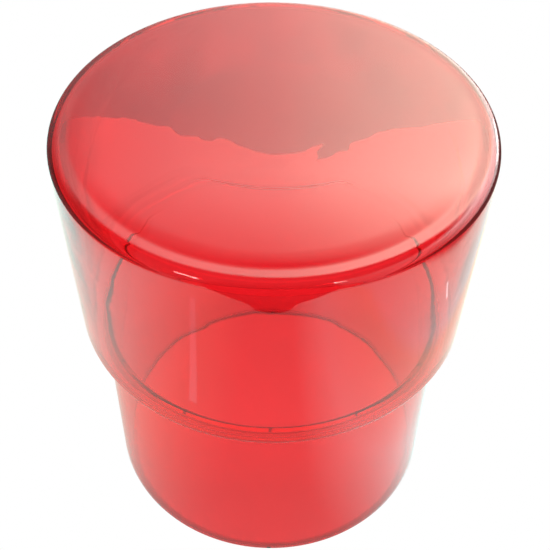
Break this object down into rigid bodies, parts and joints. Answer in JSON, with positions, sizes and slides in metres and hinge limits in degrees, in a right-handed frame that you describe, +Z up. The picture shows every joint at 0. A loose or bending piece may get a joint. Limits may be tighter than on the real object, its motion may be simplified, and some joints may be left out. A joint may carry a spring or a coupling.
{
  "type": "glass side table",
  "caption": "Round side table of red blown glass: a wide closed drum steps in to a narrower open drum whose ground rim stands on small clear bumper pads.",
  "frame": {"origin": "centre of the table on the floor, level with the undersides of the bumper pads", "axes": "+Z up through the middle of the table top, -Y towards the viewer; the table is round, so X and Y are set by the pads only"},
  "size_m": [0.3995, 0.3994, 0.45],
  "materials": {
    "ruby_glass": "fire-polished, hand blown",
    "clear_pad": "clear satin polyurethane"
  },
  "bodies": {
    "root": {"glass_shell": "ruby_glass", "rim_pad_front": "clear_pad", "rim_pad_front_right": "clear_pad", "rim_pad_right": "clear_pad", "rim_pad_back_right": "clear_pad", "rim_pad_back": "clear_pad", "rim_pad_back_left": "clear_pad", "rim_pad_left": "clear_pad", "rim_pad_front_left": "clear_pad"}
  },
  "joints": []
}
